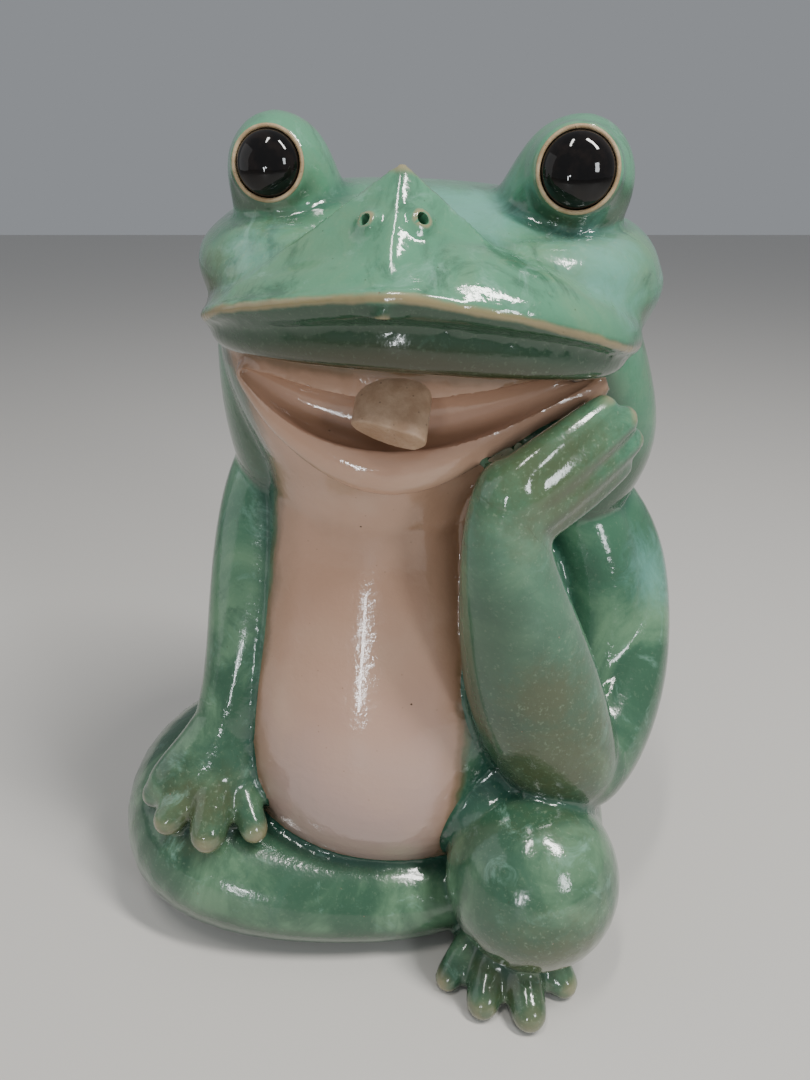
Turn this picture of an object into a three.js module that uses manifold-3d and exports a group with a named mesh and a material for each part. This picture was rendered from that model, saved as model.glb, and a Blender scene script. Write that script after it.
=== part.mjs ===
// A seated ceramic frog ornament, resting its cheek on its left hand.
// Hollow castings (torso, jaw ring, head) are stacked and luted, and the legs, arms, hands, feet,
// eye turrets, eye domes and tongue are made apart and stuck on with slip before firing.
// Units are millimetres, +Z is up, the frog faces -Y, and its left side is +X.
// The origin is the middle of the bounding box on the floor.
import * as THREE from "three";
import { mergeVertices } from "three/addons/utils/BufferGeometryUtils.js";
import Module from "manifold-3d";

const wasm = await Module();
wasm.setup();

// ---------------------------------------------------------------- driving dimensions

const seam_gap = 0.3; // between two luted pieces
const wall = 6; // clay wall of the hollow castings

const torso_height = 155; // floor to the neck seam
const torso_x = -6; // middle of the torso
const torso_y = -4;
const belly_half_width = 56;
const belly_half_depth = 54;
const belly_rise = 62; // height of the fullest part of the belly
const base_half_width = 46; // foot of the belly, behind the folded shin
const base_half_depth = 34;
const back_half_width = 60;
const back_half_depth = 38;
const neck_half_width = 46;
const neck_half_depth = 36;
const mould_split_y = -14; // where the front and back halves meet

const jaw_height = 47; // neck seam to the seam under the upper lip
const jaw_half_width = 56; // mouth corners
const jaw_half_depth = 48;
const jowl_half_width = 71; // rolls of the neck behind the jaw
const neck_bore_half_width = 36; // opening in the roof of the mouth, from the jaw ring to the head
const neck_bore_half_depth = 22;
const mouth_half_width = 50;
const mouth_depth = 9;
const mouth_half_height = 19;

const cap_height = 40; // seam under the upper lip to the crown
const head_x = 5.5;
const head_y = -12;
const head_half_width = 67;
const head_half_depth = 60; // middle of the head to the edge of the lip
const head_yaw = THREE.MathUtils.degToRad(-5); // the face turns a little to its right
const lip_edge_rise = 15; // seam to the edge of the upper lip
const lip_undercut = 8; // how far the lip leans back below its edge
const snout_half_width = 30;
const snout_rise = 4; // nose peak above the crown
const nostril_radius = 1.7;
const nostril_depth = 5;
const nostril_spacing = 13;

const turret_rise = 18; // top of a turret above the crown
const right_turret_radius = 14.3;
const left_turret_radius = 16;
const turret_spread = 38; // middle of the head to each turret
const right_eye_radius = 8;
const left_eye_radius = 9;
const eye_bulge = 5; // half thickness of an eye dome

const tongue_half_width = 9.5;
const tongue_height = 13;
const tongue_length = 16;

const shoulder_drop = 10; // below the neck seam
const right_shoulder_out = 49; // from the middle of the torso
const left_shoulder_out = 82;
const right_arm_radius = 10.5;
const right_wrist_radius = 7.5;
const left_upper_arm_radius = 15;
const left_forearm_radius = 19;
const left_wrist_radius = 10;
const finger_radius = 4.6;

const right_knee_out = 70; // from the middle of the torso to the middle of the knee
const right_knee_y = -25;
const right_thigh_radius = 27;
const right_shin_radius = 19;
const left_knee_reach = 57; // forward of the origin to the middle of the knee
const left_knee_x = 41;
const left_knee_rise = 38;
const left_knee_radius = 28.5;
const left_thigh_radius = 29;
const toe_radius = 5.2;
const foot_thickness = 13;

const vent_radius = 4; // air holes pierced through a wall behind each hollow limb

// Facets of the organic forms: enough for the true outline, and no more.
const coarse = { around: 14, along: 7, cap: 4 };
const fine = { around: 24, along: 10, cap: 4 };
const digit = { around: 9, along: 2, cap: 2 };

// ---------------------------------------------------------------- solids from three.js geometry

const UP = new THREE.Vector3(0, 0, 1);
const RIGHTWARD = new THREE.Vector3(1, 0, 0);
const at = (x, y, z) => new THREE.Vector3(x, y, z);

function solid(geometry) {
  const bare = geometry.clone();
  bare.deleteAttribute("normal");
  bare.deleteAttribute("uv");
  const merged = mergeVertices(bare, 1e-4);
  return new wasm.Manifold(
    new wasm.Mesh({
      numProp: 3,
      vertProperties: new Float32Array(merged.attributes.position.array),
      triVerts: new Uint32Array(merged.index.array),
    }),
  );
}

// A body swept through stations { p, wide, deep }, with round ends. `wide` is its half size along the
// part of `across` square to the path, and `deep` its half size square to both. `dome` is the height
// of an end against its radius. `level` keeps every section horizontal on a path that only rises.
function limb(stations, grow = 0, { across = RIGHTWARD, detail = coarse, dome = 1, level = false } = {}) {
  const path = new THREE.CatmullRomCurve3(stations.map((s) => s.p), false, "centripetal");
  const sizes = new THREE.CatmullRomCurve3(
    stations.map((s) => at(s.wide, s.deep ?? s.wide, 0)), false, "centripetal");
  const capsule = new THREE.CapsuleGeometry(1, 1, detail.cap, detail.around, detail.along);
  const vertex = capsule.attributes.position;
  const last = stations.length - 1;
  for (let i = 0; i < vertex.count; i++) {
    const height = vertex.getY(i);
    const share = THREE.MathUtils.clamp(height + 0.5, 0, 1);
    const beyond = height > 0.5 ? height - 0.5 : Math.min(height + 0.5, 0);
    const tangent = level ? UP : path.getTangent(share);
    const side = across.clone().addScaledVector(tangent, -across.dot(tangent)).normalize();
    const other = new THREE.Vector3().crossVectors(tangent, side);
    const size = last ? sizes.getPoint(share) : at(stations[0].wide, stations[0].deep, 0);
    const wide = Math.max(size.x + grow, 0.5);
    const deep = Math.max(size.y + grow, 0.5);
    const point = path.getPoint(share)
      .addScaledVector(side, vertex.getZ(i) * wide)
      .addScaledVector(other, vertex.getX(i) * deep)
      .addScaledVector(tangent, beyond * Math.max(dome * Math.min(size.x, size.y) + grow, 0.5));
    vertex.setXYZ(i, point.x, point.y, point.z);
  }
  return solid(capsule);
}

function ellipsoid(p, rx, ry, rz, grow = 0, { around = 20, rings = 12 } = {}) {
  const ball = new THREE.SphereGeometry(1, around, rings);
  ball.rotateX(Math.PI / 2);
  ball.scale(rx + grow, ry + grow, rz + grow);
  ball.translate(p.x, p.y, p.z);
  return solid(ball);
}

function block(low, high) {
  const size = high.clone().sub(low);
  const box = new THREE.BoxGeometry(size.x, size.y, size.z);
  box.translate((low.x + high.x) / 2, (low.y + high.y) / 2, (low.z + high.z) / 2);
  return solid(box);
}

// A round rod from one point to another.
function rod(from, to, radius) {
  const length = from.distanceTo(to);
  const cylinder = new THREE.CylinderGeometry(radius, radius, length, 14);
  cylinder.applyQuaternion(
    new THREE.Quaternion().setFromUnitVectors(at(0, 1, 0), to.clone().sub(from).normalize()));
  cylinder.translate((from.x + to.x) / 2, (from.y + to.y) / 2, (from.z + to.z) / 2);
  return solid(cylinder);
}

const FAR = 400;
const between = (z0, z1) => block(at(-FAR, -FAR, z0), at(FAR, FAR, z1));
const above_floor = between(0, FAR);
const join = (...solids) => solids.reduce((a, b) => a.add(b));

// The largest body that is left of a solid once its neighbours are cut away.
function largest(whole) {
  return whole.decompose().sort((a, b) => b.volume() - a.volume())[0];
}

// A form cut back from the neighbours that were stuck on before it, by one seam gap.
function luted(form, ...neighbours) {
  const cut = neighbours.reduce((s, neighbour) => s.subtract(neighbour(seam_gap)), form(0));
  return largest(cut.intersect(above_floor));
}

// Turns a point given in the head's own frame (origin on the head's axis, at the lip seam) into place.
const lip_seam_z = torso_height + jaw_height;
const crown_z = lip_seam_z + cap_height;
function on_head(x, y, z) {
  return at(x, y, z).applyAxisAngle(UP, head_yaw).add(at(head_x, head_y, lip_seam_z));
}
const head_across = RIGHTWARD.clone().applyAxisAngle(UP, head_yaw);
const face_forward = at(0, -1, 0).applyAxisAngle(UP, head_yaw);

// ---------------------------------------------------------------- torso: front and back halves

const belly = (g) => limb([
  { p: at(torso_x, torso_y + 12, -20), wide: base_half_width - 6, deep: base_half_depth - 6 },
  { p: at(torso_x, torso_y + 10, belly_rise * 0.2), wide: base_half_width, deep: base_half_depth },
  { p: at(torso_x, torso_y + 2, belly_rise * 0.55),
    wide: belly_half_width - 3, deep: belly_half_depth - 8 },
  { p: at(torso_x, torso_y, belly_rise), wide: belly_half_width, deep: belly_half_depth },
  { p: at(torso_x + 1, torso_y + 3, (belly_rise + torso_height) / 2),
    wide: (belly_half_width + neck_half_width) / 2, deep: (belly_half_depth + neck_half_depth) / 2 },
  { p: at(torso_x + 3, torso_y + 8, torso_height - 5),
    wide: neck_half_width - 2, deep: neck_half_depth + 2 },
  { p: at(torso_x + 5, torso_y + 8, torso_height + 25), wide: neck_half_width, deep: neck_half_depth },
], g, { detail: fine, level: true });
const back_y = torso_y + 25;
const back = (g) => limb([
  { p: at(torso_x + 6, back_y, -20), wide: back_half_width - 8, deep: back_half_depth - 6 },
  { p: at(torso_x + 8, back_y, belly_rise * 0.6), wide: back_half_width, deep: back_half_depth },
  { p: at(torso_x + 12, back_y - 1, (belly_rise + torso_height) / 2),
    wide: back_half_width - 2, deep: back_half_depth - 4 },
  { p: at(torso_x + 15, back_y - 3, torso_height - 15),
    wide: back_half_width + 1, deep: back_half_depth - 8 },
  { p: at(torso_x + 16, back_y - 5, torso_height + 12),
    wide: neck_half_width + 15, deep: neck_half_depth - 7 },
], g, { detail: fine, level: true });
const torso_outside = (g) => join(belly(g), back(g));
const torso = (g) => torso_outside(g).intersect(between(0, torso_height + g));

function torso_shell() {
  return torso(0).subtract(torso_outside(-wall));
}

const in_front_of = (y) => block(at(-FAR, -FAR, -FAR), at(FAR, y, FAR));
const behind = (y) => block(at(-FAR, y, -FAR), at(FAR, FAR, FAR));

// ---------------------------------------------------------------- jaw ring: lower jaw and nape

const chin = (g) => limb([
  { p: at(torso_x + 3, torso_y + 8, torso_height - 20), wide: neck_half_width - 4, deep: neck_half_depth },
  { p: at(torso_x + 3, torso_y + 6, torso_height + 3),
    wide: neck_half_width - 5, deep: neck_half_depth + 3 },
  { p: at(torso_x + 4, torso_y + 2, torso_height + jaw_height * 0.42),
    wide: neck_half_width, deep: jaw_half_depth - 5 },
  { p: at(head_x - 5, head_y + 8, lip_seam_z - 10), wide: jaw_half_width - 2, deep: jaw_half_depth - 1 },
  { p: at(head_x - 4, head_y + 8, lip_seam_z), wide: jaw_half_width, deep: jaw_half_depth },
  { p: at(head_x - 4, head_y + 8, lip_seam_z + 20), wide: jaw_half_width, deep: jaw_half_depth },
], g, { detail: fine, level: true });
const jowls = (g) => limb([
  { p: at(head_x + 4, head_y + 28, torso_height - 20),
    wide: jowl_half_width - 12, deep: neck_half_depth - 7 },
  { p: at(head_x + 4, head_y + 28, torso_height), wide: jowl_half_width - 9, deep: neck_half_depth - 7 },
  { p: at(head_x + 8, head_y + 25, torso_height + jaw_height * 0.36),
    wide: jowl_half_width, deep: neck_half_depth - 4 },
  { p: at(head_x + 1, head_y + 19, lip_seam_z - 8), wide: jowl_half_width - 7, deep: jaw_half_depth - 9 },
  { p: at(head_x, head_y + 17, lip_seam_z + 20), wide: jowl_half_width - 8, deep: jaw_half_depth - 7 },
], g, { detail: fine, level: true });
const jaw_outside = (g) => join(chin(g), jowls(g));
const mouth_middle = on_head(-2, -jaw_half_depth + 7, -5);
const mouth_recess = (g) => limb([
  { p: mouth_middle.clone().addScaledVector(head_across, -mouth_half_width + 12).setZ(lip_seam_z - 5),
    wide: 3, deep: 5 },
  { p: mouth_middle, wide: mouth_depth, deep: mouth_half_height },
  { p: mouth_middle.clone().addScaledVector(head_across, mouth_half_width - 6).setZ(lip_seam_z - 5),
    wide: 3, deep: 5 },
], g, { across: at(0, 1, 0) });
const jaw = (g) => jaw_outside(g)
  .subtract(mouth_recess(-g))
  .intersect(between(torso_height + seam_gap - g, lip_seam_z + g));
// The ring is hollow behind the mouth, and the hollow opens into the torso and the head.
const jaw_hollow = jaw_outside(-wall).subtract(mouth_recess(wall));
const neck_bore = limb([
  { p: at(head_x - 4, head_y + 18, torso_height - 30),
    wide: neck_bore_half_width, deep: neck_bore_half_depth },
  { p: at(head_x, head_y + 16, lip_seam_z + 30), wide: neck_bore_half_width, deep: neck_bore_half_depth },
], 0, { detail: fine, level: true });

// ---------------------------------------------------------------- head: cranium, upper lip and snout

const head_level = (rise, wide, deep, y = 0) => ({ p: on_head(0, y, rise), wide, deep });
const cranium = (g) => limb([
  head_level(-14, head_half_width - 5, head_half_depth - lip_undercut, lip_undercut - 2),
  head_level(2, head_half_width - 4, head_half_depth - lip_undercut + 4, lip_undercut - 4),
  head_level(lip_edge_rise - 2, head_half_width - 1, head_half_depth, 0),
  head_level(lip_edge_rise + 6, head_half_width, head_half_depth - 6, 4),
  head_level(cap_height - 12, head_half_width - 6, head_half_depth - 16, 10),
  head_level(cap_height - 6, head_half_width - 22, head_half_depth - 30, 16),
], g, { across: head_across, detail: { around: 28, along: 12, cap: 3 }, dome: 0.2, level: true });
const snout = (g) => limb([
  { p: on_head(-1.5, -head_half_depth + 32, lip_edge_rise - 4), wide: snout_half_width + 6, deep: 31 },
  { p: on_head(-1.5, -head_half_depth + 26, cap_height - 14), wide: snout_half_width * 0.66, deep: 19 },
  { p: on_head(-1.5, -head_half_depth + 21, cap_height - 3), wide: 10, deep: 8 },
  { p: on_head(-1.5, -head_half_depth + 19, cap_height + snout_rise - 2), wide: 3, deep: 2 },
], g, { across: head_across, detail: { around: 16, along: 6, cap: 2 }, level: true });
const head_form = (g) => join(cranium(g), snout(g))
  .intersect(between(lip_seam_z + seam_gap - g, FAR));

function head_shell() {
  const hollow = cranium(-wall).intersect(between(lip_seam_z + wall, FAR));
  let shell = head_form(0).subtract(hollow).subtract(neck_bore)
    .subtract(right_turret.dome(seam_gap)).subtract(left_turret.dome(seam_gap));
  for (const side of [-1, 1]) {
    const mouth = on_head(side * nostril_spacing / 2 - 2, -head_half_depth + 9, cap_height - 6);
    const inner = mouth.clone().addScaledVector(face_forward, -nostril_depth - 6);
    shell = shell.subtract(rod(mouth.addScaledVector(face_forward, 6), inner, nostril_radius));
  }
  return largest(shell);
}

// ---------------------------------------------------------------- eyes

function turret_parts(side, radius, eye_radius) {
  const middle = on_head(side * turret_spread, -7, cap_height + turret_rise - radius);
  const form = (g) => limb([
    { p: middle.clone().add(at(-side * 2, 10, -radius)), wide: radius - 1, deep: radius + 2 },
    { p: middle, wide: radius, deep: radius },
  ], g, { detail: { around: 18, along: 3, cap: 6 } });
  const gaze = at(0, -1, 0.16).applyAxisAngle(UP, head_yaw).normalize();
  const seat = middle.clone().addScaledVector(gaze, radius - 2.2);
  const dome = (g) => {
    const ball = new THREE.SphereGeometry(1, 20, 12);
    ball.scale(eye_radius + g, eye_bulge + g, eye_radius + g);
    ball.applyQuaternion(new THREE.Quaternion().setFromUnitVectors(at(0, 1, 0), gaze));
    ball.translate(seat.x, seat.y, seat.z);
    return solid(ball);
  };
  return { form, dome };
}
const right_turret = turret_parts(-1, right_turret_radius, right_eye_radius);
const left_turret = turret_parts(1, left_turret_radius, left_eye_radius);
const turret_solid = (turret) => luted((g) => turret.form(g).subtract(turret.dome(seam_gap)), head_form);

// ---------------------------------------------------------------- tongue

const tongue_root = on_head(-5, -jaw_half_depth + 18, -3 - tongue_height / 2);
const tongue = (g) => limb([
  { p: tongue_root, wide: tongue_half_width, deep: tongue_height / 2 },
  { p: tongue_root.clone().addScaledVector(face_forward, tongue_length - 4),
    wide: tongue_half_width, deep: tongue_height / 2 },
], g, { detail: { around: 18, along: 2, cap: 4 } });

// ---------------------------------------------------------------- right leg, folded flat, and foot

const right_hip = at(torso_x - belly_half_width + 18, torso_y + 34, right_thigh_radius + 3);
const right_knee = at(torso_x - right_knee_out, right_knee_y, right_thigh_radius);
const shin_y = torso_y - belly_half_depth + right_shin_radius + 1;
const right_leg = (g) => limb([
  { p: right_hip, wide: right_thigh_radius, deep: right_thigh_radius },
  { p: right_knee.clone().add(at(-1, 14, 1)), wide: right_thigh_radius + 1, deep: right_thigh_radius - 1 },
  { p: right_knee.clone().add(at(7, -5, -3)), wide: right_thigh_radius - 1, deep: right_thigh_radius },
  { p: at(torso_x - 42, shin_y, right_shin_radius - 1),
    wide: right_shin_radius + 2, deep: right_shin_radius + 5 },
  { p: at(torso_x - 15, shin_y, right_shin_radius - 3),
    wide: right_shin_radius, deep: right_shin_radius + 4 },
  { p: at(torso_x + 20, shin_y, right_shin_radius - 5),
    wide: right_shin_radius - 2, deep: right_shin_radius + 1 },
], g, { across: UP, detail: { around: 18, along: 14, cap: 4 } });

// ---------------------------------------------------------------- left leg, knee raised, and foot

const left_knee = at(left_knee_x, -left_knee_reach, left_knee_rise);
const left_hip = at(torso_x + belly_half_width - 14, torso_y + 20, left_thigh_radius + 6);
const left_leg = (g) => join(
  limb([
    { p: left_hip, wide: left_thigh_radius, deep: left_thigh_radius + 2 },
    { p: left_hip.clone().lerp(left_knee, 0.5).add(at(2, 0, 10)),
      wide: left_thigh_radius, deep: left_thigh_radius },
    { p: left_knee, wide: left_knee_radius, deep: left_knee_radius },
  ], g, { detail: { around: 20, along: 8, cap: 6 } }),
  limb([
    { p: left_knee.clone().add(at(-2, 10, -10)), wide: 18, deep: 16 },
    { p: at(left_knee_x - 5, -left_knee_reach + 8, 6), wide: 15, deep: 14 },
  ], g, { detail: coarse }),
);

function foot(heel, toes, thickness) {
  return (g) => join(
    ellipsoid(heel.clone().setZ(thickness * 0.35), 18, 21, thickness * 0.65, g),
    ...toes.map((tip) => limb([
      { p: heel.clone().lerp(tip, 0.45).setZ(thickness * 0.55),
        wide: toe_radius - 1, deep: toe_radius - 1 },
      { p: tip.clone().setZ(toe_radius * 0.7), wide: toe_radius, deep: toe_radius * 0.9 },
    ], g, { across: UP, detail: digit })),
  );
}
const left_heel = at(left_knee_x - 7, -left_knee_reach - 2, 0);
const left_foot = foot(left_heel, [[-19, -10], [-9, -22], [6, -25], [17, -14]]
  .map(([x, y]) => left_heel.clone().add(at(x, y, 0))), foot_thickness);

// ---------------------------------------------------------------- right arm and hand, on the knee

const right_shoulder = at(torso_x - right_shoulder_out + 2, torso_y + 10, torso_height - shoulder_drop);
const right_wrist = at(torso_x - right_shoulder_out - 5, -26, 72);
const right_arm = (g) => limb([
  { p: right_shoulder, wide: right_arm_radius + 2, deep: right_arm_radius + 8 },
  { p: right_shoulder.clone().lerp(right_wrist, 0.45).add(at(-2, 3, 0)),
    wide: right_arm_radius, deep: right_arm_radius + 1 },
  { p: right_wrist.clone().add(at(0, 4, 8)), wide: right_wrist_radius, deep: right_wrist_radius },
], g);
const right_palm = right_wrist.clone().add(at(-9, -8, -15));
const right_hand = (g) => join(
  limb([
    { p: right_wrist, wide: right_wrist_radius, deep: right_wrist_radius },
    { p: right_palm, wide: 15, deep: 8 },
  ], g),
  ...[[-16, -6, -7], [-6, -14, -11], [7, -14, -12], [18, -6, -9]].map(([x, y, z]) => limb([
    { p: right_palm.clone().add(at(x * 0.4, 0, 0)), wide: finger_radius, deep: finger_radius },
    { p: right_palm.clone().add(at(x, y, z)), wide: finger_radius + 0.6, deep: finger_radius + 0.6 },
  ], g, { detail: digit })),
);

// ---------------------------------------------------------------- left arm and hand, under the cheek

const left_shoulder = at(torso_x + left_shoulder_out, torso_y + 18, torso_height - shoulder_drop - 12);
const left_elbow = at(left_knee_x + 11, -left_knee_reach + 15, left_knee_rise + left_knee_radius + 5);
const left_wrist = at(left_knee_x - 15, -left_knee_reach + 1, torso_height + 9);
const left_upper_arm = (g) => limb([
  { p: at(torso_x + neck_half_width - 10, torso_y + 16, torso_height - shoulder_drop),
    wide: left_upper_arm_radius, deep: left_upper_arm_radius + 3 },
  { p: left_shoulder, wide: left_upper_arm_radius - 1, deep: left_upper_arm_radius - 1 },
  { p: left_shoulder.clone().lerp(left_elbow, 0.5).add(at(3, 2, -2)),
    wide: left_upper_arm_radius, deep: left_upper_arm_radius },
  { p: left_elbow, wide: left_upper_arm_radius - 2, deep: left_upper_arm_radius - 2 },
], g, { across: at(0, 1, 0), detail: { around: 14, along: 9, cap: 4 } });
const left_forearm = (g) => limb([
  { p: left_elbow.clone().add(at(-4, 0, 3)), wide: left_forearm_radius, deep: left_forearm_radius - 4 },
  { p: left_elbow.clone().lerp(left_wrist, 0.35).add(at(-4, 0, 0)),
    wide: left_forearm_radius, deep: left_forearm_radius - 3 },
  { p: left_wrist, wide: left_wrist_radius, deep: left_wrist_radius },
], g);
const left_hand = (g) => join(
  limb([
    { p: left_wrist.clone().add(at(0, 0, 1)), wide: left_wrist_radius, deep: left_wrist_radius },
    { p: left_wrist.clone().add(at(14, 6, 8)), wide: 13, deep: 9 },
  ], g, { across: at(0, 0, 1) }),
  ...[[28, 14, 19], [31, 15, 12], [31, 15, 5], [27, 14, -3]].map(([x, y, z], i) => limb([
    { p: left_wrist.clone().add(at(12, 5, 15 - 5 * i)), wide: finger_radius, deep: finger_radius },
    { p: left_wrist.clone().add(at(x, y, z)), wide: finger_radius, deep: finger_radius },
  ], g, { across: UP, detail: digit })),
);

// ---------------------------------------------------------------- hollows and vents of the legs

const leg_hollow = {
  right: right_leg(-wall),
  left: left_leg(-wall),
};
const hip_vents = join(
  rod(right_hip, right_hip.clone().setX(torso_x), vent_radius),
  rod(left_hip, left_hip.clone().setX(torso_x), vent_radius),
);

// ---------------------------------------------------------------- colours, and the assembly

const GLAZES = {
  green_glaze: { color: 0x6fa88c, roughness: 0.15, metalness: 0 },
  pink_glaze: { color: 0xc9a894, roughness: 0.2, metalness: 0 },
  black_glaze: { color: 0x0b0908, roughness: 0.05, metalness: 0 },
  bisque: { color: 0xb8917a, roughness: 0.6, metalness: 0 },
};

const frog = new THREE.Group();

function piece(name, body, glaze) {
  const made = body.getMesh();
  const geometry = new THREE.BufferGeometry();
  const positions = new Float32Array(made.numVert * 3);
  for (let i = 0; i < made.numVert; i++)
    positions.set(made.vertProperties.subarray(i * made.numProp, i * made.numProp + 3), i * 3);
  geometry.setAttribute("position", new THREE.BufferAttribute(positions, 3));
  geometry.setIndex(new THREE.BufferAttribute(new Uint32Array(made.triVerts), 1));
  geometry.computeVertexNormals();
  const mesh = new THREE.Mesh(geometry, new THREE.MeshStandardMaterial(GLAZES[glaze]));
  mesh.name = name;
  frog.add(mesh);
}

const vented_torso = torso_shell().subtract(hip_vents);
piece("torso_front",
  largest(vented_torso.intersect(in_front_of(mould_split_y - seam_gap / 2))), "pink_glaze");
piece("torso_back",
  largest(vented_torso.intersect(behind(mould_split_y + seam_gap / 2))), "green_glaze");

const jaw_ring = jaw(0).subtract(jaw_hollow).subtract(tongue(seam_gap));
piece("lower_jaw", largest(jaw_ring.intersect(in_front_of(mould_split_y - seam_gap / 2))), "pink_glaze");
piece("nape", largest(jaw_ring.intersect(behind(mould_split_y + seam_gap / 2))), "green_glaze");

piece("head", head_shell(), "green_glaze");
piece("tongue", luted(tongue, head_form), "bisque");
piece("right_eye_turret", turret_solid(right_turret), "green_glaze");
piece("left_eye_turret", turret_solid(left_turret), "green_glaze");
piece("right_eye", right_turret.dome(0), "black_glaze");
piece("left_eye", left_turret.dome(0), "black_glaze");

piece("right_leg", luted((g) => right_leg(g).subtract(leg_hollow.right), torso, left_leg), "green_glaze");
piece("left_leg", luted((g) => left_leg(g).subtract(leg_hollow.left), torso), "green_glaze");
piece("left_foot", luted(left_foot, left_leg, right_leg, torso), "green_glaze");

piece("right_arm", luted(right_arm, torso, jaw, right_leg), "green_glaze");
piece("right_hand", luted(right_hand, right_arm, right_leg, torso), "green_glaze");
piece("left_upper_arm", luted(left_upper_arm, torso, jaw, head_form, left_leg), "green_glaze");
piece("left_forearm", luted(left_forearm, left_upper_arm, left_leg, torso, jaw), "green_glaze");
piece("left_hand", luted(left_hand, left_forearm, jaw, head_form, torso, left_upper_arm), "green_glaze");

// Everything moves together so that the middle of the footprint is the origin.
const extent = new THREE.Box3().setFromObject(frog);
frog.position.set(-(extent.min.x + extent.max.x) / 2, -(extent.min.y + extent.max.y) / 2, 0);

export default frog;
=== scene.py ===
"""A seated ceramic frog, its cheek on its left hand, in glossy green and pink glaze.

The frog is put together the way a potter would: level coils are stacked into the torso, jaw and head,
rolls of clay make the limbs and fingers, everything is luted and smoothed into one wet form, and the
form is then shared out again between the pieces it was made from. Lengths are in millimetres from the
seat, the point on the floor under the torso, until clay() turns them into metres.
"""
import math

import bpy
import numpy as np
from mathutils import Matrix, Vector
from mathutils.kdtree import KDTree


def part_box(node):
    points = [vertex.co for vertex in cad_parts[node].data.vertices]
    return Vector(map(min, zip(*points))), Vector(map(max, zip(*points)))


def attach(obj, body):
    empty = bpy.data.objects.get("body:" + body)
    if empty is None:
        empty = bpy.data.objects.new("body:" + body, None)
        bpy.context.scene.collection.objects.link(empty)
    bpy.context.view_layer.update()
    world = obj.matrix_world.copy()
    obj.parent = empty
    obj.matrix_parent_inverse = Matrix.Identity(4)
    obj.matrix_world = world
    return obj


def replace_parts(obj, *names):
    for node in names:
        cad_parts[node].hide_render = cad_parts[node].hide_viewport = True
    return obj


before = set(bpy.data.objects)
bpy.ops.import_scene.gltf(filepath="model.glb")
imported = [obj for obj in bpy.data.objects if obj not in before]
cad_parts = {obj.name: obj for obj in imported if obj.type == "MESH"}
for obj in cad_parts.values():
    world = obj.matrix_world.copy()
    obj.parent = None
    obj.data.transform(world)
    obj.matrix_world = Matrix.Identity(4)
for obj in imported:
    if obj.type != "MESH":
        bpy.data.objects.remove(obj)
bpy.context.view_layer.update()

MM = 0.001
BELLY_REACH = 58  # the seat is this far behind the front of the belly
BELLY_ASIDE = 6  # and this far to the left of its middle
low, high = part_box("torso_front")
SEAT = Vector(((low[0] + high[0]) / 2 + BELLY_ASIDE * MM, low[1] + BELLY_REACH * MM, 0))
NECK = high[2] / MM  # height of the seam between torso and jaw
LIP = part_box("head")[0][2] / MM  # height of the seam under the upper lip

HEAD_MIDDLE = Vector((5.5, -12, LIP))
HEAD_TURN = Matrix.Rotation(math.radians(3.2), 3, "Y") @ Matrix.Rotation(math.radians(-5), 3, "Z")


def clay(x, y, z):
    """A place measured from the seat."""
    return Vector((x, y, z)) * MM + SEAT


def on_head(x, y, z):
    """A place measured from the middle of the head, along the way it is turned and tilted."""
    return (HEAD_TURN @ Vector((x, y, z)) + HEAD_MIDDLE) * MM + SEAT


# ---------------------------------------------------------------- the potter's tools

RING_SIDES = 16
ROUNDING = 2 / 3 + math.cos(2 * math.pi / RING_SIDES) / 3  # how far smoothing draws a ring in


def only(*objects):
    """Selects these objects and nothing else, and makes the first one active."""
    if bpy.context.mode != "OBJECT":
        bpy.ops.object.mode_set(mode="OBJECT")
    bpy.ops.object.select_all(action="DESELECT")
    for thing in objects:
        thing.select_set(True)
    bpy.context.view_layer.objects.active = objects[0]
    return objects[0]


def finish_with(thing, kind, **settings):
    """Adds one modifier and applies it."""
    only(thing)
    modifier = thing.modifiers.new(kind.lower(), kind)
    for name, value in settings.items():
        setattr(modifier, name, value)
    bpy.ops.object.modifier_apply(modifier=modifier.name)
    return thing


def copy_of(thing, name):
    twin = thing.copy()
    twin.data = thing.data.copy()
    twin.name = name
    bpy.context.collection.objects.link(twin)
    return twin


def throw_away(*objects):
    for thing in objects:
        bpy.data.objects.remove(thing, do_unlink=True)


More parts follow.
